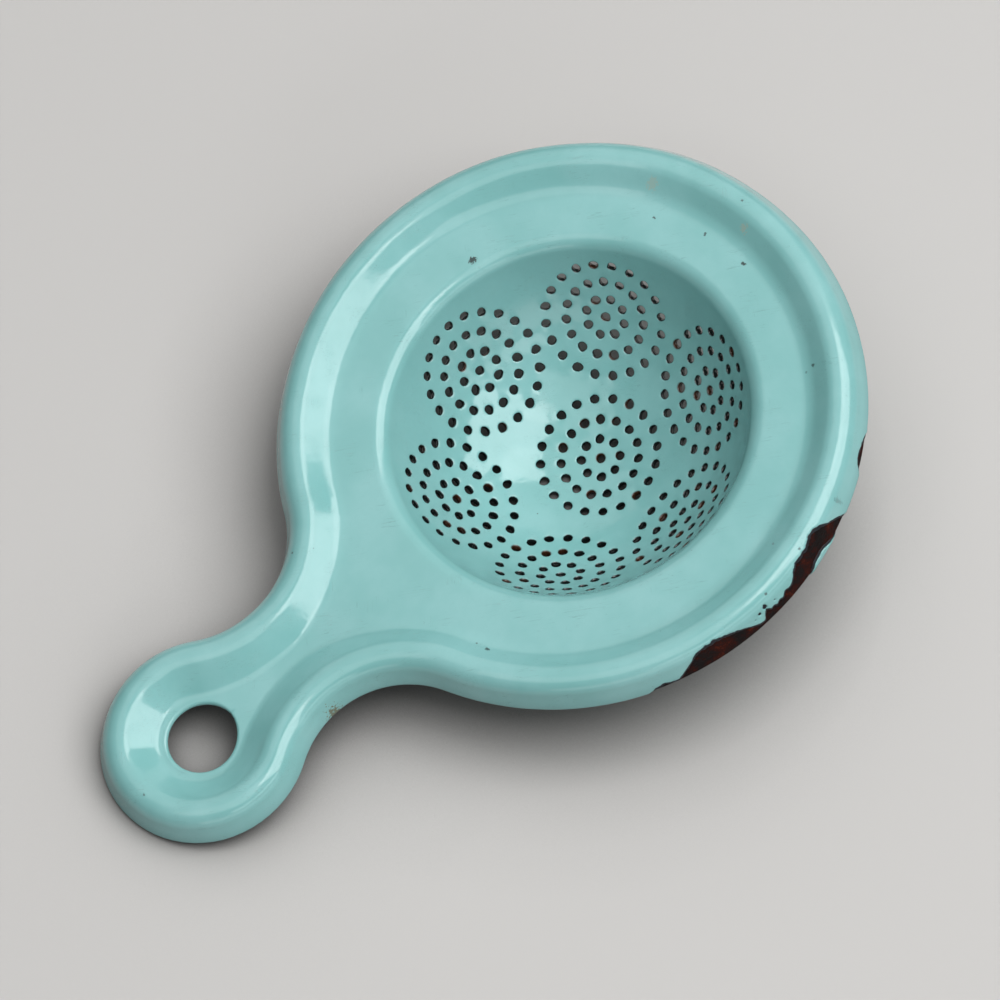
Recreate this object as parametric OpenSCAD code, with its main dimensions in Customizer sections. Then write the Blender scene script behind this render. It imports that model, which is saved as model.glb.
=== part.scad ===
// Enamel sieve: a small strainer pressed from one sheet of steel, with a bowl
// pierced in rosettes, a turned-down rim, and a channelled handle with a hole
// to hang it by. It is drawn lying on a table, on its bowl and its handle's tip.

/* [Bowl] */
// width of the bowl's mouth, inside, where its wall would meet the brim
mouth_w = 55.8; // [50:0.2:58]
// depth of the bowl inside, below the brim
bowl_depth = 19.8; // [16:0.1:25]
// rounding where the brim turns down into the bowl
lip_r = 2.8; // [2:0.1:4]

/* [Rosettes] */
// number of rosettes round the middle one
rosettes = 6; // [3:1:6]
// angle from the bowl's bottom up to the middle of each outer rosette
rosette_tilt = 43.9; // [42:0.1:46]
// how far the outer rosettes are turned from the line away from the handle
rosette_turn = -19.4; // [-30:0.1:30]
// how far the middle rosette lies off the bowl's axis, away from the handle
middle_shift = 1.3; // [0:0.1:1.6]
// holes in each ring of a rosette, from the inside out
ring_holes = [8, 15, 20];
// step from one ring of holes to the next
ring_step = 3; // [2.4:0.1:3.1]
// turn of each ring in an outer rosette, from the line up the bowl's wall
ring_turn = [28, 0, 8];
// turn of each ring in the middle rosette, from the line away from the handle
middle_turn = [7, 1, 0];
// width of a hole
hole_d = 1.4; // [1:0.1:1.6]

/* [Rim] */
// width across the rim's lower edge
disc_w = 90; // [86:1:100]
// height of the rim's rounded top above its lower edge
rim_h = 5.1; // [4.5:0.1:6.5]
// lean of the turned-down skirt, out from upright
skirt_lean = 23; // [12:1:28]
// outer rounding of the rim's top
crest_r = 3; // [2.4:0.1:3.2]
// slope from the rim's top down to the brim and into the handle's channel
slope = 35; // [30:1:40]
// drop from the rim's top to the flat brim
brim_drop = 2.5; // [2:0.1:2.5]
// rounding at the foot of the slope, on the brim
brim_foot_r = 4.4; // [3:0.1:4.6]

/* [Handle] */
// distance from the bowl's axis to the hanging hole
hole_reach = 71.6; // [66:0.5:78]
// width across the handle's round end
end_w = 32.2; // [31.8:0.2:36]
// rounding of the outline where the handle joins the rim
neck_r = 15; // [14:0.5:24]
// drop from the rim's top to the floor of the handle's channel
channel_drop = 3.1; // [2.5:0.1:3.1]
// rounding at the foot of the slope, in the channel
channel_foot_r = 2.5; // [2:0.1:2.7]
// width of the hanging hole
hang_d = 10.5; // [7:0.1:10.5]

/* [Sheet and coats] */
// thickness of the steel sheet
steel_t = 0.5; // [0.4:0.05:0.7]
// thickness of the dark ground coat on each face
ground_t = 0.12; // [0.1:0.02:0.2]
// thickness of the coloured cover coat on each face
cover_t = 0.18; // [0.12:0.02:0.3]

/* [Chips] */
// shell-shaped hollows in the skirt: direction of each from the bowl's axis, and its reach
chips = [
    [-111, 1.1], [-101, 3.7], [-97, 3.5], [-93, 2.3], [-85, 0.9], [-81, 1.3],
    [-76.5, 3.7], [-70.5, 4.2], [-66, 2], [-52, 1.2], [-49, 1.2]
];
// how far the ground coat shows round the bare steel in a chip
chip_step = 0.5; // [0.2:0.1:1]

/* [Hidden] */
$fn = 96;
disc_r = disc_w / 2;
end_r = end_w / 2;
mouth_r = mouth_w / 2;
full_t = steel_t + 2 * (ground_t + cover_t);

// how deep the two faces of each layer lie under the finished top face
cover_faces = [0, full_t];
ground_faces = [cover_t, full_t - cover_t];
steel_faces = [cover_t + ground_t, full_t - cover_t - ground_t];

// heights of the finished top face above the rim's lower edge, and the middle of the bowl's ball
brim_z = rim_h - brim_drop;
channel_z = rim_h - channel_drop;
// the ball's radius to a thousandth, so that heights measured from its middle stay round numbers
ball_r = round(1000 * (mouth_r ^ 2 + bowl_depth ^ 2) / (2 * bowl_depth)) / 1000;
ball_z = brim_z - bowl_depth + ball_r;

// the middle of the rim's rounded top, measured in from the outline and up
crest_z = rim_h - crest_r;
crest_in = (crest_r + crest_z * sin(skirt_lean)) / cos(skirt_lean);

// the lip's rounding rolls on the outside of the ball
lip_z = brim_z - lip_r;
lip_x = sqrt((ball_r + lip_r) ^ 2 - (lip_z - ball_z) ^ 2);
lip_turn = atan2(ball_z - lip_z, -lip_x);

// the outline is round the disc and the handle's end, and hollow about a middle each side of the neck
neck_x = ((end_r + neck_r) ^ 2 - (disc_r + neck_r) ^ 2 - hole_reach ^ 2) / (2 * hole_reach);
neck_y = sqrt((disc_r + neck_r) ^ 2 - neck_x ^ 2);
disc_gap = atan2(neck_y, -neck_x);
end_gap = atan2(neck_y, neck_x + hole_reach);

// the turned brim stops this short of the slope's foot, and the swept floor runs in over it, but
// never past where the lip begins to fall
brim_gap = 0.5;
brim_overlap = 2;
brim_r = disc_r - slope_foot(brim_drop, brim_foot_r) - brim_gap;
sweep_in_r = max(lip_x, brim_r - brim_overlap);
// round the hanging hole the swept floor runs in past the hole's edge, which is cut later
hang_overlap = 0.8;
hang_in_r = hang_d / 2 - hang_overlap;

// turns about a neck's middle at which the sweep leaves the brim and comes to the hanging hole
leave_turn = atan2(neck_y, -sweep_in_r - neck_x);
hang_turn = atan2(neck_y, hang_in_r - hole_reach - neck_x);
// and those between which the floor falls from the brim to the channel
fall_from = atan2(neck_y, -brim_r - neck_x);
fall_to = 90;

// lying on the table: the line that touches the bowl and the handle's tip
tip_x = -hole_reach - end_r;
rest_tilt = asin((ball_r + full_t) / norm([tip_x, ball_z])) - atan2(ball_z, -tip_x);
lift = -tip_x * sin(rest_tilt);
// the middle of the whole length comes over the origin
centre_x = (tip_x + disc_r) / 2 * cos(rest_tilt);

// steps of the sweep along half the disc, the parts of a neck and half the handle's end
disc_steps = 16;
leave_steps = 3;
neck_steps = 8;
end_steps = 7;
// steps across the rim's rounded top, the slope's foot and the lip
crest_steps = 4;
foot_steps = 2;
lip_steps = 8;
// facets of a hole's wall, and by how much cuts run past what they cut, and joints overlap
hole_facets = 24;
punch_past = 0.6;
past = 1;
hair = 0.02;
// closer than this to the handle's middle line is on it
near = 0.001;

// length of the straight slope between the rounding of the top and that of the foot
function slope_run(drop, foot) =
    (drop - (crest_r + foot) * (1 - cos(slope))) / sin(slope);

// distance in from the outline at which the floor inside the slope begins
function slope_foot(drop, foot) =
    crest_in + (crest_r + foot) * sin(slope) + slope_run(drop, foot) * cos(slope);

function backwards(list) = [for (k = [len(list) - 1 : -1 : 0]) list[k]];

// points of an arc about a middle, from one angle to another, leaving out so many at its start
function arc(mid, r, from, to, steps, skip = 0) = [
    for (k = [skip : steps])
        let (a = from + (to - from) * k / steps)
            mid + r * [cos(a), sin(a)]
];

// a station of the sweep: its place on the outline, the way in from there, the width of its
// section, and how far its floor has fallen from the brim, 0, to the channel, 1
function disc_station(a) =
    [disc_r * [cos(a), sin(a)], -[cos(a), sin(a)], disc_r - sweep_in_r, 0];

function end_station(a) =
    [[-hole_reach, 0] + end_r * [cos(a), sin(a)], -[cos(a), sin(a)], end_r - hang_in_r, 1];

// from a point, the run along a way to a circle's near side
function run_to(at, way, mid, r) =
    let (back = (mid - at) * way, side = norm(mid - at) ^ 2 - back ^ 2)
        back - sqrt(r ^ 2 - side);

// a neck's sections run in to the brim, then to the handle's middle line, then to the hanging hole
function neck_station(turn) =
    let (
        way = [cos(turn), -sin(turn)],
        mid = [neck_x, neck_y],
        run = turn < leave_turn ? run_to(mid, way, [0, 0], sweep_in_r)
            : turn > hang_turn ? run_to(mid, way, [-hole_reach, 0], hang_in_r)
            : neck_y / sin(turn),
        part = min(1, max(0, (turn - fall_from) / (fall_to - fall_from)))
    )
        [mid + neck_r * way, way, run - neck_r, part ^ 2 * (3 - 2 * part)];

// the same station on the other side of the handle's middle line
function across(s) = [[s[0][0], -s[0][1]], [s[1][0], -s[1][1]], s[2], s[3]];

function spread(from, to, steps) = [for (k = [1 : steps]) from + (to - from) * k / steps];

neck_turns = concat(
    spread(disc_gap, leave_turn, leave_steps),
    spread(leave_turn, hang_turn, neck_steps),
    [180 - end_gap]
);

// one side's stations, from the disc's far point to the handle's tip, then the other side's
side_stations = concat(
    [for (a = concat([0], spread(0, 180 - disc_gap, disc_steps))) disc_station(a)],
    [for (turn = neck_turns) neck_station(turn)],
    [for (a = spread(end_gap, 180, end_steps)) end_station(a)]
);
stations = concat(
    side_stations,
    [for (k = [len(side_stations) - 2 : -1 : 1]) across(side_stations[k])]
);

// a station's section of the face at a depth under the finished top, from its inner end to the
// skirt's lower edge at a base height, x being measured in from the outline
function face_line(depth, base, s) =
    let (
        drop = brim_drop + (channel_drop - brim_drop) * s[3],
        foot_r = brim_foot_r + (channel_foot_r - brim_foot_r) * s[3],
        foot = [slope_foot(drop, foot_r), rim_h - drop + foot_r],
        crest = [crest_in, crest_z],
        top_r = crest_r - depth,
        wall = crest + top_r * [-cos(skirt_lean), sin(skirt_lean)]
    )
        concat(
            [[s[2], rim_h - drop - depth]],
            arc(foot, foot_r + depth, 270, 270 - slope, foot_steps),
            arc(crest, top_r, 90 - slope, 180 - skirt_lean, crest_steps),
            [[wall[0] - (wall[1] - base) * tan(skirt_lean), base]]
        );

// the sheet between two faces, as a closed section
function sheet_section(faces, s) =
    concat(face_line(faces[0], faces[0], s), backwards(face_line(faces[1], faces[0], s)));

// sweeps a closed section for each station round the outline, open where both sides of the
// handle meet on its middle line
module sweep(sections, walls) {
    rows = len(sections);
    size = len(sections[0]);
    points = [
        for (k = [0 : rows - 1], p = sections[k])
            [each stations[k][0] + p[0] * stations[k][1], p[1]]
    ];
    polyhedron(points, [
        for (k = [0 : rows - 1], j = [0 : size - 1])
            let (a = k * size, b = (k + 1) % rows * size, n = (j + 1) % size)
                if (len(search(j, walls)) == 0 || abs(points[a + j][1]) + abs(points[b + j][1]) > near)
                    each [[a + j, b + n, a + n], [a + j, b + j, b + n]]
    ]);
}

// half section of the air over the face at a depth under the finished top, up to a height, seen
// from the ball's middle: the ball, and the funnel of the lip, which starts a hair inside the ball
module hollow(depth, height) {
    lip = [lip_x, lip_z - ball_z];
    corner = lip + (lip_r - depth) * [cos(lip_turn), sin(lip_turn)];
    circle(ball_r + depth);
    polygon(concat(
        [[-past, height], [-past, corner[1]], [corner[0] - hair, corner[1]]],
        arc(lip, lip_r - depth, lip_turn, 90, lip_steps, 1),
        [[disc_r, brim_z - ball_z - depth], [disc_r, height]]
    ));
}

// the turned bowl, lip and brim between two faces
module turned(faces) {
    low = ball_r + 2 * full_t;
    top = rim_h - ball_z;
    translate([0, 0, ball_z])
        rotate_extrude()
            intersection() {
                translate([0, -low])
                    square([brim_r, top + low]);
                difference() {
                    hollow(faces[1], top + past);
                    hollow(faces[0], top + 2 * past);
                }
            }
}

// one punch through the ball's bottom: a cylinder from the ball's middle, with all but its end
// taken off by a wider one, so that punches don't meet inside the ball
module punch() {
    mirror([0, 0, 1])
        difference() {
            cylinder(d = hole_d, h = ball_r + full_t + punch_past, $fn = hole_facets);
            translate([0, 0, -punch_past])
                cylinder(d = 2 * hole_d, h = ball_r, $fn = hole_facets);
        }
}

// holes of one rosette, each punched square to the ball's wall
module rosette(turns) {
    for (ring = [0 : len(ring_holes)])
        let (count = ring == 0 ? 1 : ring_holes[ring - 1], turn = ring == 0 ? 0 : turns[ring - 1])
            for (k = [0 : count - 1])
                rotate([0, -asin(ring * ring_step / ball_r), turn + k * 360 / count])
                    punch();
}

module rosettes() {
    translate([0, 0, ball_z]) {
        rotate([0, -asin(middle_shift / ball_r), 0])
            rosette(middle_turn);
        for (k = [0 : rosettes - 1])
            rotate([0, -rosette_tilt, rosette_turn + k * 360 / rosettes])
                rosette(ring_turn);
    }
}

// a round peg on the hanging hole's axis
module hang_peg(depth, top, height) {
    translate([-hole_reach, 0, channel_z - top])
        cylinder(d = hang_d + 2 * depth, h = height);
}

// hollows where the coats have come off the skirt
module chip_hollows(wider) {
    for (chip = chips)
        rotate([0, 0, chip[0]])
            translate([disc_r, 0, 0])
                sphere(chip[1] + wider);
}

// a coat wraps the layer inside it, round the skirt's lower edge and through the hanging hole
module coat(faces, inner, bare) {
    sections = [for (s = stations) concat(sheet_section(faces, s), backwards(sheet_section(inner, s)))];
    size = len(sections[0]);
    difference() {
        union() {
            sweep(sections, [size / 2 - 1, size - 1]);
            turned([faces[0], inner[0]]);
            turned([inner[1], faces[1]]);
            hang_peg(inner[0], faces[1], faces[1] - faces[0]);
        }
        hang_peg(faces[0], faces[1] + past, full_t + 2 * past);
        rosettes();
        chip_hollows(bare);
    }
}

// from the sieve's own level, brim flat, to how it lies on the table
module laid() {
    translate([-centre_x, 0, lift])
        rotate([0, -rest_tilt, 0])
            children();
}

module steel_pressing() {
    sections = [for (s = stations) sheet_section(steel_faces, s)];
    color("dimgray")
        laid()
            difference() {
                union() {
                    sweep(sections, [len(sections[0]) - 1]);
                    turned(steel_faces);
                }
                hang_peg(steel_faces[0], steel_faces[1] + past, full_t + 2 * past);
                rosettes();
            }
}

module ground_coat() {
    color("black")
        laid()
            coat(ground_faces, steel_faces, 0);
}

module cover_coat() {
    color("mediumturquoise")
        laid()
            coat(cover_faces, ground_faces, chip_step);
}

steel_pressing();
ground_coat();
cover_coat();
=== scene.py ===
# Looks of the enamel sieve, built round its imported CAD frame.
# The sieve is modelled in its own level, in millimetres: brim flat, the rim's lower edge at
# height 0, the bowl's axis through the origin and the handle along -X. Then it is laid on the table.

import math

import bpy
import numpy as np
from mathutils import Matrix, Quaternion, Vector
from mathutils.geometry import delaunay_2d_cdt


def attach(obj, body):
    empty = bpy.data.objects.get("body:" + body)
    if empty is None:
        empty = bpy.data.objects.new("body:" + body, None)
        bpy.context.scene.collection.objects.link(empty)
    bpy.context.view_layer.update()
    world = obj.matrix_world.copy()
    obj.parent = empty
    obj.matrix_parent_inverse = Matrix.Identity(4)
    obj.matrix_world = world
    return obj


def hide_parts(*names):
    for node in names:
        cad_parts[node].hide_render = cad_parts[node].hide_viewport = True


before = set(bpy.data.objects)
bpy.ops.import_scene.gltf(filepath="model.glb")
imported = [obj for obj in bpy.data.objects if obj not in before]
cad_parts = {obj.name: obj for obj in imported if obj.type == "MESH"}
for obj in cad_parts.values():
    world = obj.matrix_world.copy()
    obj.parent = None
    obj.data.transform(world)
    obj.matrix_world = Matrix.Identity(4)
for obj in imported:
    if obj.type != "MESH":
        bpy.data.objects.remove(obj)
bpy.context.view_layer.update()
print("frame loaded")

# Sizes, the same as the pressing's own

pressing = {
    "discR": 45.0,  # outline round the bowl
    "rimH": 5.1,  # the rounded top of the rim over its lower edge
    "skirtLean": 23.0,  # the turned-down skirt, out from upright
    "crestR": 3.0,  # rounding of the rim's top
    "slope": 35.0,  # from the rim's top down to the brim and the channel
    "brimDrop": 2.5,  # from the rim's top to the brim
    "brimFootR": 4.4,
    "channelDrop": 3.1,  # from the rim's top to the handle's channel
    "channelFootR": 2.45,
    "ballR": 29.557,  # inside of the bowl
    "bowlDepth": 19.8,
    "lipR": 2.8,
    "holeReach": 71.6,  # from the bowl's axis to the hanging hole
    "endR": 16.1,  # outline round the handle's end
    "neckR": 15.0,
    "hangR": 5.25,
    "half": 0.55,  # half the thickness of the sheet with its coats
}

discR, endR, neckR = pressing["discR"], pressing["endR"], pressing["neckR"]
holeReach, hangR, half = pressing["holeReach"], pressing["hangR"], pressing["half"]
ballR, lipR, rimH = pressing["ballR"], pressing["lipR"], pressing["rimH"]
brimZ = rimH - pressing["brimDrop"]
ballZ = brimZ - pressing["bowlDepth"] + ballR
lean, slope = math.radians(pressing["skirtLean"]), math.radians(pressing["slope"])

crestZ = rimH - pressing["crestR"]
crestIn = (pressing["crestR"] + crestZ * math.sin(lean)) / math.cos(lean)
lipZ = brimZ - lipR
lipX = math.sqrt((ballR + lipR) ** 2 - (lipZ - ballZ) ** 2)
lipTurn = math.atan2(ballZ - lipZ, -lipX)
ballTop = lipTurn - math.pi / 2  # from the bowl's bottom up to where its lip begins

# Middles of the neck's two hollows, and where the outline's arcs meet
neckX = ((endR + neckR) ** 2 - (discR + neckR) ** 2 - holeReach**2) / (2 * holeReach)
neckY = math.sqrt((discR + neckR) ** 2 - neckX**2)
discGap = math.atan2(neckY, -neckX)
endGap = math.atan2(neckY, neckX + holeReach)

# How it lies: on the bowl and on the tip of the handle
tipX = -holeReach - endR
restTilt = math.asin((ballR + 2 * half) / math.hypot(tipX, ballZ)) - math.atan2(ballZ, -tipX)
layDown = (
    Matrix.Translation((-(tipX + discR) / 2 * math.cos(restTilt), 0, -tipX * math.sin(restTilt)))
    @ Matrix.Rotation(-restTilt, 4, "Y")
)
intoMetres = Matrix.Scale(0.001, 4) @ layDown


# Camera, made first: where the photograph was taken from

shot = {
    "stand": (-0.2789, -0.4367, 0.9825),
    "target": (0.0068, -0.0003, 0.0120),
    "roll": -6.05,  # degrees, the camera's right side dipped
    "lens": 267.7,
    "sensor": 36.0,
}

cameraData = bpy.data.cameras.new("camera")
cameraData.lens = shot["lens"]
cameraData.sensor_width = shot["sensor"]
cameraData.clip_start = 0.05
cameraData.clip_end = 20
camera = bpy.data.objects.new("camera", cameraData)
bpy.context.collection.objects.link(camera)
camera.location = shot["stand"]
aim = (Vector(shot["target"]) - Vector(shot["stand"])).to_track_quat("-Z", "Y")
camera.rotation_mode = "QUATERNION"
camera.rotation_quaternion = aim @ Quaternion((0, 0, 1), math.radians(shot["roll"]))
bpy.context.scene.camera = camera
bpy.context.scene.view_settings.view_transform = "Standard"
print("camera made")


# The sheet's middle line across the rim, and its stations round the outline

sweep = {
    "footSteps": 8,
    "slopeSteps": 3,
    "crestSteps": 26,
    "skirtSteps": 26,
    "capSteps": 8,
    "floorSteps": 6,
    "fineFrom": -124.0,  # degrees round the disc where chips ask for close stations
    "fineTo": -40.0,
    "fineStep": 0.16,
    "coarseStep": 1.5,
    "neckSteps": 56,
    "endSteps": 44,
    "seamR": 33.5,  # where the swept brim meets the turned one
}


def arcPoints(mid, r, start, stop, steps):
    a = np.linspace(start, stop, steps + 1)
    return np.stack([mid[0] + r * np.cos(a), mid[1] + r * np.sin(a)], 1), np.stack([np.cos(a), np.sin(a)], 1)


def slopeFoot(fall):
    # distance in from the outline where the slope's foot ends, its rounding, and the floor's drop
    drop = pressing["brimDrop"] + (pressing["channelDrop"] - pressing["brimDrop"]) * fall
    footR = pressing["brimFootR"] + (pressing["channelFootR"] - pressing["brimFootR"]) * fall
    both = pressing["crestR"] + footR
    run = (drop - both * (1 - math.cos(slope))) / math.sin(slope)
    return crestIn + both * math.sin(slope) + run * math.cos(slope), footR, drop


def middleLine(width, fall):
    # points and upward normals of the sheet's middle, from a section's inner end to the skirt's edge
    footIn, footR, drop = slopeFoot(fall)
    floorZ = rimH - drop - half
    foot, footOut = arcPoints((footIn, rimH - drop + footR), footR + half, 1.5 * math.pi,
                              1.5 * math.pi - slope, sweep["footSteps"])
    crest, crestOut = arcPoints((crestIn, crestZ), pressing["crestR"] - half, math.pi / 2 - slope,
                                math.pi - lean, sweep["crestSteps"])
    floor = np.stack([np.linspace(width, footIn, sweep["floorSteps"] + 1)[:-1],
                      np.full(sweep["floorSteps"], floorZ)], 1)
    ramp = foot[-1] + (crest[0] - foot[-1]) * np.linspace(0, 1, sweep["slopeSteps"] + 1)[1:-1, None]
    fallLength = (crest[-1, 1] - half) / math.cos(lean)
    down = np.linspace(0, fallLength, sweep["skirtSteps"] + 1)[1:, None]
    skirt = crest[-1] - down * np.array([math.sin(lean), math.cos(lean)])
    points = np.concatenate([floor, foot, ramp, crest, skirt])
    normals = np.concatenate([
        np.tile([0, 1], (len(floor), 1)), -footOut,
        np.tile([math.sin(slope), math.cos(slope)], (len(ramp), 1)), crestOut,
        np.tile([-math.cos(lean), math.sin(lean)], (len(skirt), 1)),
    ])
    return points, normals


def runTo(start, way, mid, r):
    # from a point along a way to the near side of a circle
    back = (mid - start) @ way
    aside = (mid - start) @ (mid - start) - back**2
    return back - math.sqrt(r**2 - aside)


def smooth(part):
    part = min(1, max(0, part))
    return part**2 * (3 - 2 * part)


def discStation(a):
    out = np.array([math.cos(a), math.sin(a)])
    return discR * out, -out, discR - sweep["seamR"], 0.0


def endStation(a):
    out = np.array([math.cos(a), math.sin(a)])
    return np.array([-holeReach, 0]) + endR * out, -out, endR - hangR - half, 1.0


def neckStation(turn, side):
    way, mid = np.array([math.cos(turn), -math.sin(turn)]), np.array([neckX, neckY])
    leave = math.atan2(neckY, -sweep["seamR"] - neckX)
    arrive = math.atan2(neckY, hangR + half - holeReach - neckX)
    if turn < leave:
        run = runTo(mid, way, np.zeros(2), sweep["seamR"])
    elif turn > arrive:
        run = runTo(mid, way, np.array([-holeReach, 0]), hangR + half)
    else:
        run = neckY / math.sin(turn)
    fallFrom = math.atan2(neckY, -34.5 - neckX)
    fall = smooth((turn - fallFrom) / (math.pi / 2 - fallFrom))
    flip = np.array([1, side])
    return (mid + neckR * way) * flip, way * flip, run - neckR, fall


def spread(start, stop, step):
    count = max(1, round(abs(stop - start) / step))
    return list(np.linspace(start, stop, count + 1)[1:])


def neckTurns():
    leave = math.atan2(neckY, -sweep["seamR"] - neckX)
    arrive = math.atan2(neckY, hangR + half - holeReach - neckX)
    step = (math.pi - discGap - endGap) / sweep["neckSteps"]
    return spread(discGap, leave, step) + spread(leave, arrive, step) + spread(arrive, math.pi - endGap, step)


def outlineStations():
    fine, coarse = math.radians(sweep["fineStep"]), math.radians(sweep["coarseStep"])
    fineFrom, fineTo = math.radians(sweep["fineFrom"]), math.radians(sweep["fineTo"])
    low, high = discGap - math.pi, math.pi - discGap
    disc = [low] + spread(low, fineFrom, coarse) + spread(fineFrom, fineTo, fine) + spread(fineTo, high, coarse)
    turns = neckTurns()
    end = spread(endGap, 2 * math.pi - endGap, (2 * math.pi - 2 * endGap) / sweep["endSteps"])
    stations = [discStation(a) for a in disc]
    stations += [neckStation(turn, 1) for turn in turns]
    stations += [endStation(a) for a in end]
    stations += [neckStation(turn, -1) for turn in turns[-2::-1]]
    azimuths = disc + [None] * (len(stations) - len(disc))
    return stations, azimuths


stations, stationAzimuths = outlineStations()
stationCount = len(stations)
discCount = sum(a is not None for a in stationAzimuths)
seamEnds = [s[0] + s[2] * s[1] for s in stations]  # where each section ends inside
onSeam = [abs(np.hypot(*p) - sweep["seamR"]) < 1e-6 for p in seamEnds]
onHang = [abs(math.hypot(p[0] + holeReach, p[1]) - hangR - half) < 1e-6 for p in seamEnds]
print("outline stations", stationCount)


# Chips along the skirt, in degrees round the disc and millimetres up the sheet from its edge

chipped = {
    "upper": [(-114.6, -0.6), (-113.3, 0.3), (-110.8, 0.75), (-109.4, 0.35), (-108.4, 0.3), (-106.9, 1.0),
              (-105.2, 2.1), (-103.3, 3.3), (-100.7, 3.65), (-97.9, 3.5), (-95, 2.95), (-92.3, 2), (-89.6, 0.8),
              (-88.5, 0.7), (-87.7, 2.1), (-87, 2.3), (-86.4, 1.4), (-85.8, 1.9), (-85, 1.4), (-84, 1.9), (-83.2, 1.5),
              (-82.2, 2.2), (-81.2, 1.9), (-79.7, 2.2),
              (-78.4, 3.15), (-76.9, 3.7), (-75.5, 3.6), (-73.6, 3.6), (-72.2, 3.75), (-71.1, 4.2), (-69.5, 4.1),
              (-68, 3.55), (-66.3, 2.5), (-64.4, 1.1), (-62.4, -0.6), (-55, -0.6), (-54.4, -0.1), (-53.2, 0.75),
              (-51.6, 1.15), (-49.8, 1), (-47.5, 0.45), (-45.6, -0.6)],
    "lower": [(-77.6, -2), (-76.6, -1), (-75.7, -0.4), (-74.4, 0.15), (-73, 0.4), (-72, 0.45), (-70.2, 0.3),
              (-68.2, -0.3), (-66.6, -0.9), (-65, -2)],  # a tongue of enamel left at the edge
    "crumbs": [(-87.2, 2.75, 0.3), (-88.9, 2.4, 0.2), (-84.8, 2.3, 0.16), (-90.2, 2.0, 0.12)],  # and their radius
    "rounded": 0.35,  # degrees over which the outline's corners are rounded
    "ragged": 0.05,
    "step": 0.14,  # width of a broken edge
    "groundShows": 0.45,  # ground coat left round the steel
    "bare": 0.08,  # half thickness to which a chipped layer sinks
}


def waves(points, length, seed, count=14):
    # smooth noise between about -1 and 1, as a sum of sines in seeded directions
    dice = np.random.default_rng(seed)
    ways = dice.normal(size=(count, 3))
    ways /= np.linalg.norm(ways, axis=1)[:, None]
    ways *= 2 * math.pi / (length * dice.uniform(0.7, 1.6, size=(count, 1)))
    phase = dice.uniform(0, 2 * math.pi, count)
    return np.sin(points @ ways.T + phase).sum(1) / math.sqrt(count / 2)


def chipDepth(points, azimuth, height, less):
    # 0 where a layer is whole, 1 where it has gone, for points a height up the sheet
    upper, lower = np.array(chipped["upper"]), np.array(chipped["lower"])
    around = azimuth + chipped["rounded"] * np.linspace(-1, 1, 7)
    top = np.interp(around, upper[:, 0], upper[:, 1], left=-2, right=-2).mean()
    foot = np.interp(around, lower[:, 0], lower[:, 1], left=-2, right=-2).mean()
    ragged = chipped["ragged"] * (waves(points, 2.2, 7) + 0.7 * waves(points, 0.8, 8))
    foot = np.where(foot < -1.5, -9, foot + less + ragged)
    inside = np.minimum(top - less + ragged - height, height - foot)
    for crumbAzimuth, crumbHeight, r in chipped["crumbs"]:
        aside = math.radians(azimuth - crumbAzimuth) * discR
        inside = np.maximum(inside, r - 0.7 * less + 1.4 * ragged - np.hypot(aside, height - crumbHeight))
    return np.clip(inside / chipped["step"] + 0.5, 0, 1)


# Meshes of the three layers. Each is a closed body, the one inside the other

def strip(faces, rows):
    # quads between rows of point numbers
    for a, b in zip(rows[:-1], rows[1:]):
        for j in range(len(a) - 1):
            faces.append((a[j], a[j + 1], b[j + 1], b[j]))


def sweptRim(layerHalf, chipLess, points, faces, marks):
    start = len(points)
    topCount = None
    rows = []
    hangCaps = []
    for k, (place, way, width, fall) in enumerate(stations):
        line, out = middleLine(width, fall)
        along = np.zeros(len(line))
        along[:-1] = np.cumsum(np.linalg.norm(np.diff(line, axis=0), axis=1)[::-1])[::-1]
        tangent = np.array([-math.sin(lean), -math.cos(lean)])
        capA = np.linspace(0, math.pi, sweep["capSteps"] + 1)[1:-1]
        cap = np.cos(capA)[:, None] * out[-1] + np.sin(capA)[:, None] * tangent
        base = np.concatenate([line, np.tile(line[-1], (len(cap), 1)), line[::-1]])
        aside = np.concatenate([out, cap, -out[::-1]])
        height = np.concatenate([along, -layerHalf * capA, -layerHalf * math.pi - along[::-1]])
        offset = np.full(len(base), layerHalf)
        if stationAzimuths[k] is not None and chipLess is not None:
            flat = base + layerHalf * aside
            probe = np.concatenate([place + flat[:, :1] * way, flat[:, 1:]], 1)
            gone = chipDepth(probe, math.degrees(stationAzimuths[k]), height, chipLess)
            gone *= np.clip((height + layerHalf * math.pi + 0.4) / 0.3, 0, 1)  # whole inside the skirt
            offset = layerHalf + (chipped["bare"] - layerHalf) * gone
        section = base + offset[:, None] * aside
        at = place + section[:, :1] * way
        ids = range(len(points), len(points) + len(section))
        points.extend(np.concatenate([at, section[:, 1:]], 1).tolist())
        marks.extend([(0.0, 0.0)] * len(section))
        rows.append(list(ids))
        if onHang[k]:
            capA = np.linspace(0, math.pi, sweep["capSteps"] + 1)[1:-1]
            inner = line[0] + layerHalf * (np.cos(capA)[:, None] * np.array([0, -1]) + np.sin(capA)[:, None] * [1, 0])
            at = place + inner[:, :1] * way
            ids = list(range(len(points), len(points) + len(inner)))
            points.extend(np.concatenate([at, inner[:, 1:]], 1).tolist())
            marks.extend([(0.0, 0.0)] * len(inner))
            hangCaps.append((k, [rows[k][-1]] + ids + [rows[k][0]]))
    strip(faces, rows + rows[:1])
    strip(faces, [row for _, row in hangCaps])


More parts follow.
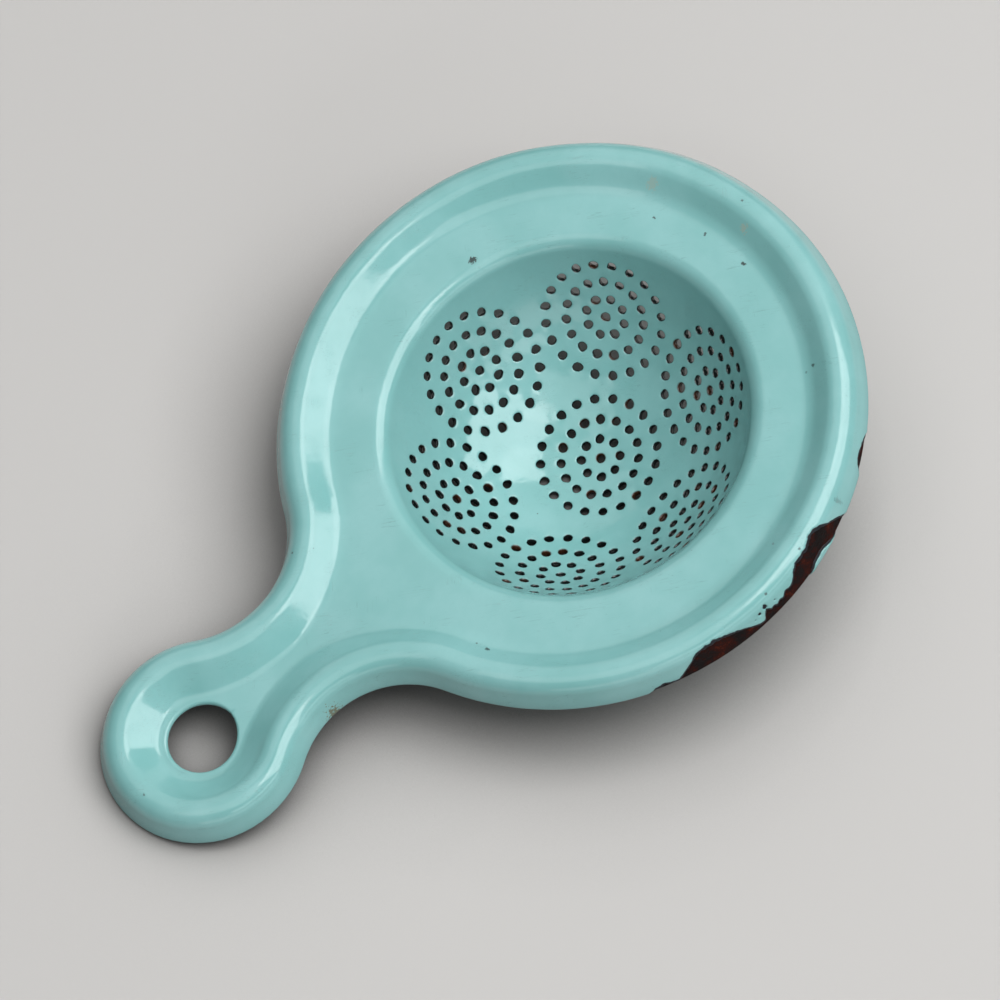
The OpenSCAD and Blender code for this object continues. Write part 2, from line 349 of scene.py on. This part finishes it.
def turnedLip(layerHalf, points, faces, marks, lowRing):
    # rings from the top of the pierced ball over the lip to the seam with the swept brim
    azimuths = [math.atan2(p[1], p[0]) for p, on in zip(seamEnds, onSeam) if on]
    azimuths = sorted(set(round(a, 9) for a in azimuths))
    profile = []
    for theta in np.linspace(lowRing, ballTop, 3):
        out = np.array([-math.sin(theta), math.cos(theta)])
        profile.append((np.array([0, ballZ]) - (ballR + half) * out, out))
    lip, lipOut = arcPoints((lipX, lipZ), lipR - half, lipTurn, math.pi / 2, 12)
    profile += list(zip(lip[1:], lipOut[1:]))
    for r in np.linspace(lipX, sweep["seamR"], 4)[1:]:
        profile.append((np.array([r, brimZ - half]), np.array([0.0, 1.0])))
    for side in (1, -1):
        rows = []
        for at, out in profile:
            r, z = at + side * layerHalf * out
            rows.append(list(range(len(points), len(points) + len(azimuths))))
            points.extend([r * math.cos(a), r * math.sin(a), z] for a in azimuths)
            marks.extend([(0.0, 0.0)] * len(azimuths))
        rows = [row + row[:1] for row in rows]
        strip(faces, [row[::-1] for row in rows] if side > 0 else rows)
    return azimuths


# Rosettes

rosettes = {
    "count": 6,
    "tilt": 43.9,  # degrees up from the bowl's bottom
    "turn": -19.4,
    "middleShift": 1.3,
    "ringHoles": (8, 15, 20),
    "ringStep": 3.0,
    "ringTurn": (28, 0, 8),
    "middleTurn": (7, 1, 0),
    "holeR": 0.6,
    "roundOver": 0.42,  # how far the enamel rounds over at a hole
    "sides": 20,
    "ballRingEnd": 66.0,  # degrees up to which the pierced part goes
}


def rosetteHoles():
    # unit directions of the holes from the ball's middle, and two unit vectors across each
    holes = []
    for k in range(-1, rosettes["count"]):
        if k < 0:
            lay = Matrix.Rotation(-math.asin(rosettes["middleShift"] / ballR), 3, "Y")
            turns = rosettes["middleTurn"]
        else:
            azimuth = math.radians(rosettes["turn"] + 360 / rosettes["count"] * k)
            lay = Matrix.Rotation(azimuth, 3, "Z") @ Matrix.Rotation(-math.radians(rosettes["tilt"]), 3, "Y")
            turns = rosettes["ringTurn"]
        for ring, (count, turn) in enumerate(zip((1, *rosettes["ringHoles"]), (0, *turns))):
            out = math.asin(ring * rosettes["ringStep"] / ballR)
            for n in range(count):
                around = math.radians(turn + 360 * n / count)
                punch = lay @ Matrix.Rotation(around, 3, "Z") @ Matrix.Rotation(-out, 3, "Y")
                holes.append((punch @ Vector((0, 0, -1)), punch @ Vector((1, 0, 0)), punch @ Vector((0, 1, 0))))
    return holes


def ontoMap(ways):
    # the ball's wall as a flat map: distance from the bottom along the middle of the sheet
    theta = np.arccos(np.clip(-ways[:, 2], -1, 1))
    a = np.arctan2(ways[:, 1], ways[:, 0])
    s = theta * (ballR + half)
    return np.stack([s * np.cos(a), s * np.sin(a)], 1)


def offMap(flat):
    s = np.linalg.norm(flat, axis=1)
    theta = s / (ballR + half)
    scale = np.where(s > 1e-9, np.sin(theta) / np.maximum(s, 1e-9), 0)
    return np.stack([flat[:, 0] * scale, flat[:, 1] * scale, -np.cos(theta)], 1)


def piercedBall(layerHalf, grow, sides, points, faces, marks, azimuths, lowRing):
    dice = np.random.default_rng(21)
    around = np.linspace(0, 2 * math.pi, sides, endpoint=False)
    flat, edges, rings = [], [], []
    centres = []
    for way, across, up in rosetteHoles():
        holeR = rosettes["holeR"] + dice.normal(0, 0.015)
        wobble = 1 + 0.09 * np.cos(2 * around + dice.uniform(0, 6.3)) * dice.uniform(0.3, 1)
        wobble += 0.05 * np.cos(3 * around + dice.uniform(0, 6.3)) * dice.uniform(0, 1)
        tear = dice.uniform(0, 6.3)
        wobble += (dice.random() < 0.35) * 0.32 * np.maximum(0, np.cos(around - tear)) ** 8
        rust = (dice.random() < 0.12) * dice.uniform(0.4, 1)
        ring = []
        outer = (holeR + rosettes["roundOver"]) * (1 + (wobble - 1) * 0.15)
        for r in (outer, np.minimum(holeR * wobble + grow, outer - 0.02)):
            reach = r / (ballR + half)
            ways = np.array(way)[None] + reach[:, None] * (
                np.cos(around)[:, None] * np.array(across) + np.sin(around)[:, None] * np.array(up))
            ring.append(ways / np.linalg.norm(ways, axis=1)[:, None])
        first = len(flat)
        flat.extend(ontoMap(ring[0]).tolist())
        edges.extend((first + n, first + (n + 1) % sides) for n in range(sides))
        rings.append((first, ring[0], ring[1], rust))
        centres.append(ontoMap(np.array(way)[None])[0])
    centres = np.array(centres)
    holeCount = len(flat)
    # points between the holes, on rings about the bottom
    clear = rosettes["holeR"] + rosettes["roundOver"] + 0.25
    reach = lowRing * (ballR + half)
    for n in range(1, int(reach / 1.1)):
        s = reach * n / int(reach / 1.1)
        count = int(2 * math.pi * s / 1.1)
        a = np.linspace(0, 2 * math.pi, count, endpoint=False) + n
        for x, y in zip(s * np.cos(a), s * np.sin(a)):
            if np.min(np.hypot(centres[:, 0] - x, centres[:, 1] - y)) > clear:
                flat.append([x, y])
    rim = len(flat)
    flat.extend([reach * math.cos(a), reach * math.sin(a)] for a in azimuths)
    edges.extend((rim + n, rim + (n + 1) % len(azimuths)) for n in range(len(azimuths)))
    found = delaunay_2d_cdt([Vector(p) for p in flat], edges, [], 1, 1e-7)
    spots = np.array([list(v) for v in found[0]])
    triangles = np.array(found[2])
    mids = spots[triangles].mean(1)
    # drop the triangles that fill holes
    keep = []
    for tri, mid in zip(triangles, mids):
        near = np.argmin(np.hypot(centres[:, 0] - mid[0], centres[:, 1] - mid[1]))
        first = rings[near][0]
        inHole = all(first <= v < first + sides for v in tri)
        if not inHole:
            keep.append(tri)
    ways = offMap(spots)
    for side in (1, -1):
        start = len(points)
        r = ballR + half - side * layerHalf
        at = ways * r + np.array([0, 0, ballZ])
        points.extend(at.tolist())
        marks.extend([(0.0, 0.0)] * len(at))
        for tri in keep:
            a, b, c = (int(start + v) for v in tri)
            faces.append((a, b, c) if side > 0 else (a, c, b))
    topStart, bottomStart = len(points) - 2 * len(ways), len(points) - len(ways)
    levels = 9
    for first, outer, inner, rust in rings:
        rows = [[topStart + first + n for n in range(sides)]]
        for level in range(1, levels):
            turn = math.pi * level / levels
            inward = math.sin(turn) ** 0.75
            h = layerHalf * math.copysign(abs(math.cos(turn)) ** 0.6, math.cos(turn))
            mix = outer + (inner - outer) * inward
            mix /= np.linalg.norm(mix, axis=1)[:, None]
            at = mix * (ballR + half - h) + np.array([0, 0, ballZ])
            rows.append(list(range(len(points), len(points) + sides)))
            points.extend(at.tolist())
            marks.extend([(inward, rust * inward)] * sides)
        rows.append([bottomStart + first + n for n in range(sides)])
        rows = [row + row[:1] for row in rows]
        strip(faces, rows)


def shape(points):
    # the small unevenness of a hand-dipped pressing
    points = points.copy()
    still = np.stack([waves(points, 26, seed) for seed in (1, 2, 3)], 1)
    fine = np.stack([waves(points, 7, seed) for seed in (4, 5, 6)], 1)
    return points + 0.035 * still + 0.008 * fine


def layerMesh(name, layerHalf, grow, sides, chipLess):
    points, faces, marks = [], [], []
    lowRing = math.radians(rosettes["ballRingEnd"])
    sweptRim(layerHalf, chipLess, points, faces, marks)
    azimuths = turnedLip(layerHalf, points, faces, marks, lowRing)
    piercedBall(layerHalf, grow, sides, points, faces, marks, azimuths, lowRing)
    at = shape(np.array(points))
    mesh = bpy.data.meshes.new(name)
    mesh.from_pydata(at.tolist(), [], faces)
    mesh.transform(intoMetres)
    place = mesh.attributes.new("flatPlace", "FLOAT_VECTOR", "POINT")
    place.data.foreach_set("vector", at.ravel())
    for column, label in enumerate(("holeWall", "holeRust")):
        mark = mesh.attributes.new(label, "FLOAT", "POINT")
        mark.data.foreach_set("value", np.array(marks)[:, column])
    piece = bpy.data.objects.new(name, mesh)
    bpy.context.collection.objects.link(piece)
    weld = piece.modifiers.new("weld", "WELD")
    weld.merge_threshold = 2e-7
    bpy.context.view_layer.objects.active = piece
    for other in bpy.context.selected_objects:
        other.select_set(False)
    piece.select_set(True)
    bpy.ops.object.modifier_apply(modifier="weld")
    piece.data.polygons.foreach_set("use_smooth", [True] * len(piece.data.polygons))
    piece.data.update()
    return piece


coverPiece = layerMesh("cover_enamel", half, 0.0, rosettes["sides"], 0.0)
print("cover coat", len(coverPiece.data.polygons), "faces")
groundPiece = layerMesh("ground_enamel", half - 0.18, 0.18, 10, chipped["groundShows"])
print("ground coat", len(groundPiece.data.polygons), "faces")
steelPiece = layerMesh("steel_sheet", half - 0.30, 0.30, 10, None)
print("steel sheet", len(steelPiece.data.polygons), "faces")


# Shader helpers and groups shared by the materials

def addNode(tree, kind, values=None, **settings):
    node = tree.nodes.new(kind)
    for key, value in settings.items():
        setattr(node, key, value)
    for key, value in (values or {}).items():
        node.inputs[key].default_value = value
    return node


def math2(tree, operation, a, b=None, clamp=False):
    node = addNode(tree, "ShaderNodeMath", operation=operation, use_clamp=clamp)
    for socket, value in zip(node.inputs, (a, b)):
        if isinstance(value, (int, float)):
            socket.default_value = value
        elif value is not None:
            tree.links.new(value, socket)
    return node.outputs[0]


def blend(tree, factor, a, b, kind="MIX"):
    # mixes two colours, each a socket or three numbers
    node = addNode(tree, "ShaderNodeMix", data_type="RGBA", blend_type=kind)
    for name, value in (("Factor", factor), ("A", a), ("B", b)):
        socket = node.inputs[name] if name == "Factor" else [i for i in node.inputs if i.name == name][2]
        if isinstance(value, (int, float)):
            socket.default_value = value
        elif isinstance(value, tuple):
            socket.default_value = (*value, 1)
        else:
            tree.links.new(value, socket)
    return node.outputs[2]


def stretch(tree, value, low, high, toLow=0.0, toHigh=1.0):
    node = addNode(tree, "ShaderNodeMapRange", {"From Min": low, "From Max": high, "To Min": toLow, "To Max": toHigh})
    node.interpolation_type = "SMOOTHSTEP"
    tree.links.new(value, node.inputs["Value"])
    return node.outputs["Result"]


def newGroup(name, inputs, outputs):
    group = bpy.data.node_groups.new(name, "ShaderNodeTree")
    for label, kind, value in inputs:
        socket = group.interface.new_socket(label, in_out="INPUT", socket_type=kind)
        if value is not None:
            socket.default_value = value
    for label, kind in outputs:
        group.interface.new_socket(label, in_out="OUTPUT", socket_type=kind)
    return group, group.nodes.new("NodeGroupInput").outputs, group.nodes.new("NodeGroupOutput").inputs


def useGroup(tree, group, place, **values):
    node = addNode(tree, "ShaderNodeGroup", node_tree=group)
    tree.links.new(place, node.inputs["Place"])
    for key, value in values.items():
        node.inputs[key].default_value = value
    return node.outputs[0] if len(node.outputs) == 1 else node.outputs


def noiseAt(tree, place, scale, detail=2.0, roughness=0.5, distortion=0.0):
    node = addNode(tree, "ShaderNodeTexNoise", {"Detail": detail, "Roughness": roughness, "Distortion": distortion})
    if isinstance(scale, (int, float)):
        node.inputs["Scale"].default_value = scale
    else:
        tree.links.new(scale, node.inputs["Scale"])
    tree.links.new(place, node.inputs["Vector"])
    return node.outputs["Fac"]


def spotGroup():
    # one mark at a place seen from above, with a ragged edge
    group, given, out = newGroup("spot", [
        ("Place", "NodeSocketVector", None), ("Centre", "NodeSocketVector", None),
        ("Radius", "NodeSocketFloat", 0.4), ("Ragged", "NodeSocketFloat", 0.5),
    ], [("Mask", "NodeSocketFloat")])
    offset = addNode(group, "ShaderNodeVectorMath", operation="SUBTRACT")
    group.links.new(given["Place"], offset.inputs[0])
    group.links.new(given["Centre"], offset.inputs[1])
    level = addNode(group, "ShaderNodeVectorMath", operation="MULTIPLY")
    level.inputs[1].default_value = (1, 1, 0)
    group.links.new(offset.outputs[0], level.inputs[0])
    length = addNode(group, "ShaderNodeVectorMath", operation="LENGTH")
    group.links.new(level.outputs[0], length.inputs[0])
    share = math2(group, "DIVIDE", length.outputs["Value"], given["Radius"])
    uneven = math2(group, "SUBTRACT", noiseAt(group, given["Place"], 3.2, 3.0), 0.5)
    edge = math2(group, "ADD", share, math2(group, "MULTIPLY", math2(group, "MULTIPLY", uneven, 4.0), given["Ragged"]))
    group.links.new(stretch(group, edge, 1.1, 0.75), out["Mask"])
    return group


def scatterGroup():
    # small specks strewn at random
    group, given, out = newGroup("scatter", [
        ("Place", "NodeSocketVector", None), ("Density", "NodeSocketFloat", 0.4),
        ("Amount", "NodeSocketFloat", 0.2), ("Size", "NodeSocketFloat", 0.1),
    ], [("Mask", "NodeSocketFloat")])
    cells = addNode(group, "ShaderNodeTexVoronoi")
    group.links.new(given["Place"], cells.inputs["Vector"])
    group.links.new(given["Density"], cells.inputs["Scale"])
    parts = addNode(group, "ShaderNodeSeparateColor")
    group.links.new(cells.outputs["Color"], parts.inputs["Color"])
    chosen = math2(group, "LESS_THAN", parts.outputs["Red"], given["Amount"])
    size = math2(group, "MULTIPLY", given["Size"], math2(group, "ADD", parts.outputs["Green"], 0.3))
    near = math2(group, "SUBTRACT", size, cells.outputs["Distance"])
    soft = math2(group, "DIVIDE", near, math2(group, "MULTIPLY", size, 0.35), clamp=True)
    group.links.new(math2(group, "MULTIPLY", soft, chosen), out["Mask"])
    return group


def scratchGroup():
    # fine hairlines in one direction, broken up into short lengths
    group, given, out = newGroup("scratches", [
        ("Place", "NodeSocketVector", None), ("Angle", "NodeSocketFloat", 0.0), ("Amount", "NodeSocketFloat", 0.3),
    ], [("Mask", "NodeSocketFloat")])
    turn = addNode(group, "ShaderNodeVectorRotate", rotation_type="Z_AXIS")
    group.links.new(given["Place"], turn.inputs["Vector"])
    group.links.new(given["Angle"], turn.inputs["Angle"])
    long = addNode(group, "ShaderNodeMapping")
    long.inputs["Scale"].default_value = (0.10, 3.2, 3.2)
    group.links.new(turn.outputs["Vector"], long.inputs["Vector"])
    lines = noiseAt(group, long.outputs["Vector"], 1.0, 1.0, 0.5, 0.3)
    thin = stretch(group, math2(group, "ABSOLUTE", math2(group, "SUBTRACT", lines, 0.5)), 0.012, 0.003)
    broken = math2(group, "SUBTRACT", noiseAt(group, turn.outputs["Vector"], 0.22, 2.0), math2(
        group, "SUBTRACT", 0.8, math2(group, "MULTIPLY", given["Amount"], 0.5)))
    patch = math2(group, "MULTIPLY", broken, 12.0, clamp=True)
    group.links.new(math2(group, "MULTIPLY", thin, patch), out["Mask"])
    return group


def grainGroup():
    # rough grain for bare or half-bare faces: a value to colour by and a height to bump by
    group, given, out = newGroup("grain", [
        ("Place", "NodeSocketVector", None), ("Scale", "NodeSocketFloat", 0.5), ("Fine", "NodeSocketFloat", 0.4),
    ], [("Value", "NodeSocketFloat"), ("Height", "NodeSocketFloat")])
    coarse = noiseAt(group, given["Place"], given["Scale"], 6.0, 0.62, 0.4)
    fine = noiseAt(group, given["Place"], math2(group, "MULTIPLY", given["Scale"], 7.0), 4.0, 0.6)
    group.links.new(math2(group, "ADD", coarse, math2(group, "MULTIPLY", math2(
        group, "SUBTRACT", fine, 0.5), given["Fine"])), out["Value"])
    group.links.new(math2(group, "ADD", coarse, math2(group, "MULTIPLY", fine, given["Fine"])), out["Height"])
    return group


spot, scatter, scratches, grain = spotGroup(), scatterGroup(), scratchGroup(), grainGroup()


def newMaterial(name):
    material = bpy.data.materials.new(name)
    material.use_nodes = True
    tree = material.node_tree
    place = addNode(tree, "ShaderNodeAttribute", attribute_name="flatPlace").outputs["Vector"]
    return material, tree, tree.nodes["Principled BSDF"], place


def setBump(tree, shader, height, distance, strength=1.0):
    bump = addNode(tree, "ShaderNodeBump", {"Strength": strength, "Distance": distance})
    tree.links.new(height, bump.inputs["Height"])
    tree.links.new(bump.outputs["Normal"], shader.inputs["Normal"])


# The turquoise cover coat

enamelLook = {
    "color": (0.255, 0.53, 0.525),
    "deep": (0.21, 0.48, 0.47),
    "thin": (0.008, 0.012, 0.012),  # where the dark coat under it shows; on the hole walls it is also painted shade
    "rust": (0.05, 0.017, 0.006),
    "stain": (0.13, 0.095, 0.03),
    "shadedWall": (0.17, 0.37, 0.365),  # painted shade on the upper part of the bowl's wall, under the lip
    "wallShadeAmount": 0.6,
    "roughness": 0.08,
    "ior": 1.6,
    "scratch": 0.5,
    # marks: degrees round the bowl's axis, distance from it, radius, and how strongly each shows
    "darkSpots": [(-148, 37.5, 0.3, 0.8), (-32, 37.3, 0.25, 0.7), (-33, 36.1, 0.2, 0.6), (0, 34.7, 0.3, 0.9),
                  (13, 34.5, 0.25, 0.8), (27, 33.5, 0.2, 0.8), (79, 30, 0.55, 0.9), (9.5, 41.3, 0.25, 0.7),
                  (134, 43.9, 0.3, 0.7), (-61.8, 43.6, 0.4, 0.35), (-74.2, 42.3, 0.22, 0.7),
                  (-85.3, 42.7, 0.2, 0.7), (-76, 38.4, 0.2, 0.5), (-178.5, 83.5, 0.2, 0.6)],
    "paleSpots": [(5.5, 38.4, 0.6, 0.45), (30, 38.1, 0.8, 0.35)],
    "paleSpot": (0.42, 0.4, 0.3),
    "neckStain": ((-54.6, -11.1, 0), 1.2),
}


def enamelMaterial(look):
    material, tree, shader, place = newMaterial("turquoise enamel")
    link = tree.links.new

    # body colour, mottled slowly, with painted shade under the lip and a fine grain
    slow = noiseAt(tree, place, 0.09, 3.0, 0.55)
    color = blend(tree, stretch(tree, slow, 0.3, 0.7), look["color"], look["deep"])
    # painted shade: the bowl's upper wall, just under the lip, is darkened in colour
    level = addNode(tree, "ShaderNodeSeparateXYZ")
    link(place, level.inputs[0])
    wallShade = math2(tree, "MULTIPLY", stretch(tree, level.outputs["Z"], 2.4, 0.4, 0, look["wallShadeAmount"]),
                 stretch(tree, level.outputs["Z"], -14.0, -5.0))
    color = blend(tree, wallShade, color, look["shadedWall"])
    fine = noiseAt(tree, place, 1.6, 4.0, 0.6)
    color = blend(tree, stretch(tree, fine, 0.35, 0.75, 0, 0.16), color, look["deep"])

    # specks, marks and stains
    specks = useGroup(tree, scatter, place, Density=0.34, Amount=0.16, Size=0.055)
    specks = math2(tree, "MULTIPLY", specks, 0.7)
    for azimuth, r, radius, strength in look["darkSpots"]:
        a = math.radians(azimuth)
        mark = useGroup(tree, spot, place, Centre=(r * math.cos(a), r * math.sin(a), 0), Radius=radius, Ragged=0.8)
        specks = math2(tree, "MAXIMUM", specks, math2(tree, "MULTIPLY", mark, strength))
    color = blend(tree, specks, color, look["thin"])
    for azimuth, r, radius, strength in look["paleSpots"]:
        a = math.radians(azimuth)
        mark = useGroup(tree, spot, place, Centre=(r * math.cos(a), r * math.sin(a), 0), Radius=radius, Ragged=0.9)
        color = blend(tree, math2(tree, "MULTIPLY", mark, strength), color, look["paleSpot"])
    centre, radius = look["neckStain"]
    mark = useGroup(tree, spot, place, Centre=centre, Radius=radius, Ragged=0.7)
    color = blend(tree, math2(tree, "MULTIPLY", mark, 0.8), color, look["stain"])

    # hairlines, stronger inside the bowl
    lines = useGroup(tree, scratches, place, Angle=0.6, Amount=0.55)
    lines = math2(tree, "MAXIMUM", lines, useGroup(tree, scratches, place, Angle=-0.9, Amount=0.35))
    lines = math2(tree, "MULTIPLY", lines, look["scratch"])
    color = blend(tree, math2(tree, "MULTIPLY", lines, 0.5), color, look["thin"])

    # the hole walls: dark where the coat is thin over the dark coat, and partly painted shade inside the holes; some
    # have rusted
    wall = addNode(tree, "ShaderNodeAttribute", attribute_name="holeWall").outputs["Fac"]
    ragged = math2(tree, "ADD", wall, math2(tree, "MULTIPLY", math2(tree, "SUBTRACT", fine, 0.5), 0.5))
    color = blend(tree, stretch(tree, ragged, 0.5, 0.85), color, look["thin"])
    rust = addNode(tree, "ShaderNodeAttribute", attribute_name="holeRust").outputs["Fac"]
    color = blend(tree, stretch(tree, rust, 0.1, 0.8, 0, 0.9), color, look["rust"])
    link(color, shader.inputs["Base Color"])
    shader.inputs["IOR"].default_value = look["ior"]

    # gloss, a little dulled by handling
    smudge = noiseAt(tree, place, 0.16, 5.0, 0.62)
    gloss = stretch(tree, smudge, 0.35, 0.75, look["roughness"], look["roughness"] + 0.09)
    gloss = math2(tree, "ADD", gloss, math2(tree, "MULTIPLY", math2(tree, "MAXIMUM", lines, specks), 0.35))
    link(gloss, shader.inputs["Roughness"])

    # orange peel, pits at the specks, hairlines
    peel = noiseAt(tree, place, 0.55, 2.0, 0.45)
    height = math2(tree, "ADD", math2(tree, "MULTIPLY", peel, 1.0), math2(tree, "MULTIPLY", fine, 0.06))
    height = math2(tree, "SUBTRACT", height, math2(tree, "MULTIPLY", math2(tree, "MAXIMUM", specks, lines), 0.35))
    setBump(tree, shader, height, 0.00003)
    return material


# The dark ground coat

groundLook = {
    "color": (0.006, 0.008, 0.012),
    "worn": (0.018, 0.02, 0.027),
    "roughness": 0.3,
    "shine": 0.3,
}


def groundMaterial(look):
    material, tree, shader, place = newMaterial("dark ground coat")
    rough = useGroup(tree, grain, place, Scale=1.8, Fine=0.3)
    color = blend(tree, stretch(tree, rough["Value"], 0.35, 0.7), look["color"], look["worn"])
    tree.links.new(color, shader.inputs["Base Color"])
    shader.inputs["Specular IOR Level"].default_value = look["shine"]
    tree.links.new(stretch(tree, rough["Value"], 0.3, 0.7, look["roughness"], look["roughness"] + 0.25),
                   shader.inputs["Roughness"])
    setBump(tree, shader, rough["Height"], 0.00012, 0.8)
    return material


# The steel, rusted where it is bare

steelLook = {
    "dark": (0.005, 0.003, 0.003),
    "rust": (0.03, 0.006, 0.004),
    "bright": (0.1, 0.02, 0.008),
    "roughness": 0.6,
    "shine": 0.1,  # rust hardly shines
}


def steelMaterial(look):
    material, tree, shader, place = newMaterial("rusted sheet steel")
    rough = useGroup(tree, grain, place, Scale=0.5, Fine=0.5)
    color = blend(tree, stretch(tree, rough["Value"], 0.42, 0.6), look["dark"], look["rust"])
    color = blend(tree, stretch(tree, rough["Value"], 0.58, 0.78), color, look["bright"])
    tree.links.new(color, shader.inputs["Base Color"])
    shader.inputs["Specular IOR Level"].default_value = look["shine"]
    tree.links.new(stretch(tree, rough["Value"], 0.35, 0.65, look["roughness"] - 0.2, look["roughness"] + 0.25),
                   shader.inputs["Roughness"])
    setBump(tree, shader, rough["Height"], 0.0002, 0.9)
    return material


for piece, node, material in (
    (coverPiece, "cover_coat", enamelMaterial(enamelLook)),
    (groundPiece, "ground_coat", groundMaterial(groundLook)),
    (steelPiece, "steel_pressing", steelMaterial(steelLook)),
):
    piece.data.materials.append(material)
    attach(piece, "root")
    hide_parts(node)
print("materials made")


# Floor and light

stage = {
    "floor": (0.54, 0.53, 0.517),  # as the camera and reflections see it
    "floorBounce": (0.2, 0.196, 0.193),  # as it lights the sieve
    "hollow": 0.028,  # metres within which things over the floor darken its colour: painted shadow by ambient occlusion
    "skyLow": 0.04,  # at the horizon
    "skyHigh": 0.14,  # overhead
    # each lamp: place, width, depth and brightness; all look at the origin
    "lamps": {
        "window": ((0.445, -0.386, 1.045), 1.05, 1.0, 3.7),
        "ceiling": ((0.45, 0.75, 1.34), 2.0, 2.0, 0.75),
        "overhead": ((-0.5, -0.33, 1.38), 1.3, 0.8, 1.25),
        "doorway": ((-0.09, -1.185, 0.741), 1.3, 0.2, 2.0),
        "wall": ((-0.35, -1.25, 0.3), 2.2, 0.4, 1.1),
    },
}

floorMesh = bpy.data.meshes.new("floor")
floorMesh.from_pydata([(-3, -3, 0), (3, -3, 0), (3, 3, 0), (-3, 3, 0)], [], [(0, 1, 2, 3)])
floor = bpy.data.objects.new("floor", floorMesh)
bpy.context.collection.objects.link(floor)
floorMaterial = bpy.data.materials.new("pale floor")
floorMaterial.use_nodes = True
floorTree = floorMaterial.node_tree
floorShader = floorTree.nodes["Principled BSDF"]
floorShader.inputs["Roughness"].default_value = 0.8
ray = addNode(floorTree, "ShaderNodeLightPath").outputs
seen = math2(floorTree, "MAXIMUM", ray["Is Camera Ray"], math2(
    floorTree, "MAXIMUM", ray["Is Glossy Ray"], ray["Is Transmission Ray"]))
floorColor = blend(floorTree, seen, stage["floorBounce"], stage["floor"])
# painted shadow: ambient occlusion darkens the floor's colour under and near the sieve
hollow = addNode(floorTree, "ShaderNodeAmbientOcclusion", {"Distance": stage["hollow"]}, samples=8)
floorTree.links.new(floorColor, hollow.inputs["Color"])
floorTree.links.new(hollow.outputs["Color"], floorShader.inputs["Base Color"])
floorMesh.materials.append(floorMaterial)

world = bpy.data.worlds.new("soft room")
bpy.context.scene.world = world
world.use_nodes = True
sky = world.node_tree
background = sky.nodes["Background"]
direction = addNode(sky, "ShaderNodeTexCoord").outputs["Generated"]
parts = addNode(sky, "ShaderNodeSeparateXYZ")
sky.links.new(direction, parts.inputs[0])
background.inputs["Color"].default_value = (1, 1, 1, 1)
sky.links.new(stretch(sky, parts.outputs["Z"], 0.0, 1.0, stage["skyLow"], stage["skyHigh"]),
              background.inputs["Strength"])

for name, (place, width, depth, brightness) in stage["lamps"].items():
    lampData = bpy.data.lights.new(name, "AREA")
    lampData.shape = "RECTANGLE"
    lampData.size = width
    lampData.size_y = depth
    lampData.energy = brightness * math.pi * width * depth
    lamp = bpy.data.objects.new(name, lampData)
    bpy.context.collection.objects.link(lamp)
    lamp.location = place
    lamp.rotation_mode = "QUATERNION"
    lamp.rotation_quaternion = (-Vector(place)).to_track_quat("-Z", "Y")
print("floor and light set")
